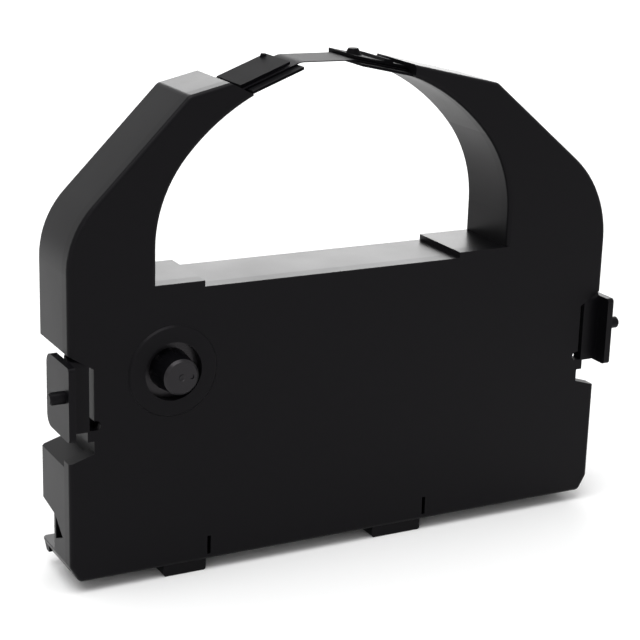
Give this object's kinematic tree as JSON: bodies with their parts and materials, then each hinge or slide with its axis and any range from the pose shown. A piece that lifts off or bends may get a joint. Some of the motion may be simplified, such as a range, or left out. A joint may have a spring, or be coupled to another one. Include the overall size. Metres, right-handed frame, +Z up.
{
  "type": "printer ribbon cartridge",
  "caption": "Flat black ribbon cassette with two arms that hold a bare ribbon span over an arched window, and a knob on its front.",
  "frame": {"origin": "centre of the bounding box's bottom face, where the tabs stand", "axes": "+X along the case from its left side as seen from the front, +Y from the front cover to the back, +Z up"},
  "size_m": [0.1658, 0.028, 0.1308],
  "materials": {
    "case_plastic": "satin",
    "knob_plastic": "semi-gloss",
    "wheel_plastic": "matte",
    "spring_steel": "brushed",
    "inked_ribbon": "matte woven"
  },
  "bodies": {
    "case": {"rear_case": "case_plastic", "front_cover": "case_plastic", "left_guide": "case_plastic", "right_guide": "case_plastic", "ribbon_span": "inked_ribbon", "ribbon_left": "inked_ribbon", "ribbon_inner": "inked_ribbon", "idler_spring": "spring_steel"},
    "drive": {"drive_wheel": "wheel_plastic", "tension_knob": "knob_plastic"},
    "arm": {"idler_arm": "wheel_plastic"},
    "idler": {"idler_wheel": "wheel_plastic"},
    "roller_left": {"left_roller": "wheel_plastic"},
    "roller_right": {"right_roller": "wheel_plastic"}
  },
  "joints": [
    {"name": "drive_spin", "type": "hinge", "parent": "case", "child": "drive", "pos_m": [-0.0505, 0.0017, 0.0553], "axis": [0, 1, 0], "continuous": true},
    {"name": "arm_swing", "type": "hinge", "parent": "case", "child": "arm", "pos_m": [-0.0325, 0.0017, 0.0707], "axis": [0, -1, 0], "range_deg": [0, 4], "stiffness_Nm_per_rad": 0.05, "springref_deg": -5.73, "deforming": ["idler_spring"]},
    {"name": "idler_spin", "type": "hinge", "parent": "arm", "child": "idler", "pos_m": [-0.0325, 0.0017, 0.0553], "axis": [0, 1, 0], "continuous": true},
    {"name": "left_roller_spin", "type": "hinge", "parent": "case", "child": "roller_left", "pos_m": [-0.043, 0.0017, 0.119], "axis": [0, 1, 0], "continuous": true},
    {"name": "right_roller_spin", "type": "hinge", "parent": "case", "child": "roller_right", "pos_m": [0.0351, 0.0017, 0.1176], "axis": [0, 1, 0], "continuous": true}
  ],
  "couplings": [
    {"joint": "idler_spin", "follows": "drive_spin", "ratio": -1.3333}
  ]
}
